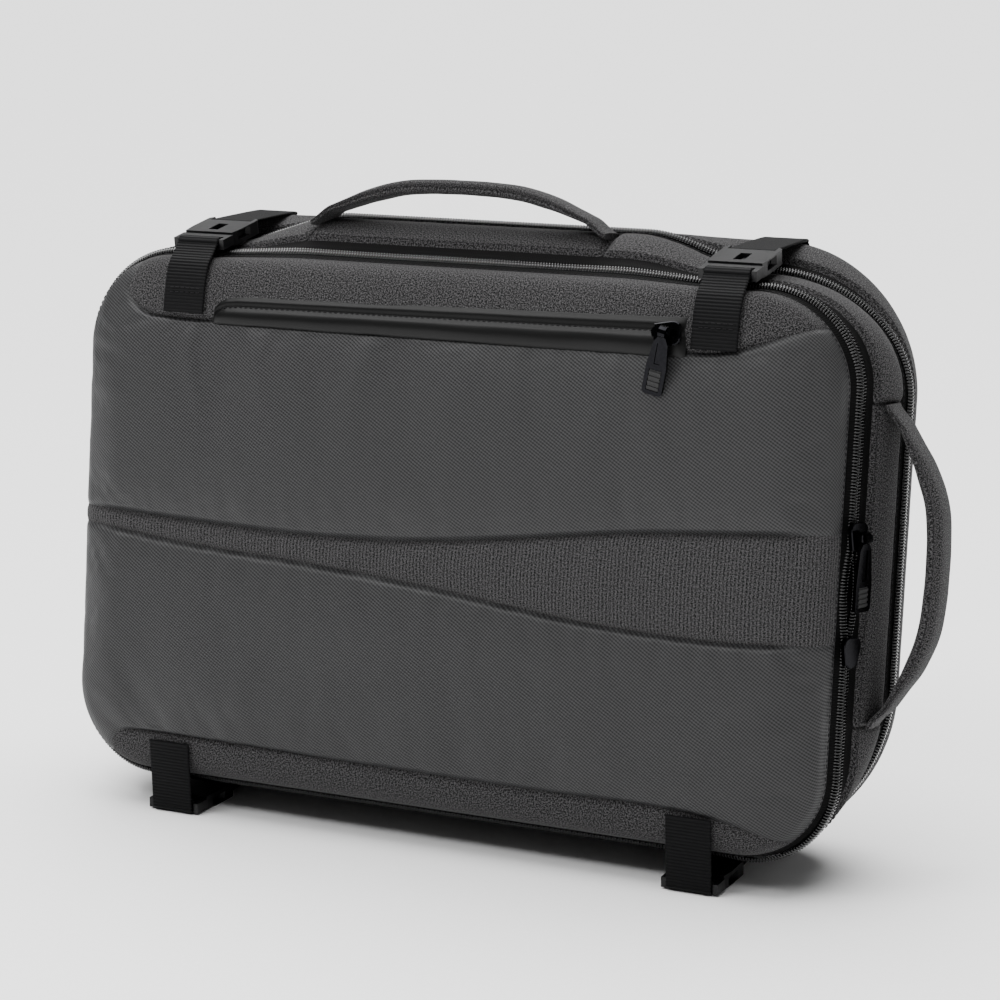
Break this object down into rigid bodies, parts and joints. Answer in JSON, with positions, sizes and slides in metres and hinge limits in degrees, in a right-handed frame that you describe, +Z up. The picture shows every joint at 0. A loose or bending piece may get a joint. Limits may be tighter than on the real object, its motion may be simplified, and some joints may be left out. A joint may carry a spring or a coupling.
{
  "type": "convertible backpack",
  "caption": "Soft convertible backpack on its long side, with grab handles, a wrap-round zip, compression straps and a zipped front pocket.",
  "frame": {"origin": "on the floor, under the middle of the bag's bounding box", "axes": "+X along the long side towards the side handle, +Y from the front panel to the back panel, +Z up"},
  "size_m": [0.5016, 0.1488, 0.3489],
  "materials": {
    "twill": "coated polyester twill, satin",
    "melange": "melange polyester, matte",
    "welt": "rubber-coated cloth, satin",
    "zip_tape": "woven polyester tape with a coil, matte",
    "webbing": "ribbed nylon webbing, matte",
    "back_cloth": "air mesh, matte",
    "acetal": "moulded acetal, satin",
    "zinc": "black-plated zinc alloy, semi-gloss",
    "grip_rubber": "ribbed soft rubber, matte"
  },
  "bodies": {
    "bag": {"front_top_band": "melange", "front_panel_upper": "twill", "front_inset": "melange", "front_panel_lower": "twill", "front_bottom_band": "melange", "pocket_welt": "welt", "gusset_top_panel": "melange", "gusset_corner_panel": "melange", "gusset_side_panel": "melange", "gusset_wrap": "melange", "main_zip": "zip_tape", "rear_zip": "zip_tape", "rear_shell": "melange", "back_panel": "back_cloth", "top_handle": "melange", "side_handle": "melange", "front_webbing_top_left": "webbing", "rear_webbing_top_left": "webbing", "buckle_plug_top_left": "acetal", "buckle_socket_top_left": "acetal", "front_webbing_base_left": "webbing", "rear_webbing_base_left": "webbing", "buckle_plug_base_left": "acetal", "buckle_socket_base_left": "acetal", "front_webbing_top_right": "webbing", "rear_webbing_top_right": "webbing", "buckle_plug_top_right": "acetal", "buckle_socket_top_right": "acetal", "front_webbing_base_right": "webbing", "rear_webbing_base_right": "webbing", "buckle_plug_base_right": "acetal", "buckle_socket_base_right": "acetal", "pocket_slider": "zinc", "main_slider_upper": "zinc", "main_slider_lower": "zinc"},
    "pocket_pull": {"pocket_pull": "zinc", "pocket_pull_grip": "grip_rubber"},
    "main_pull": {"main_pull": "zinc", "main_pull_grip": "grip_rubber"}
  },
  "joints": [
    {"name": "pocket_pull_swing", "type": "hinge", "parent": "bag", "child": "pocket_pull", "pos_m": [0.11537, -0.05522, 0.28529], "axis": [-1, 0.0026, -0.0006], "range_deg": [0, 150]},
    {"name": "main_pull_swing", "type": "hinge", "parent": "bag", "child": "main_pull", "pos_m": [0.21665, -0.03607, 0.18602], "axis": [-0.4233, -0.9002, 0.1026], "range_deg": [0, 150]}
  ]
}
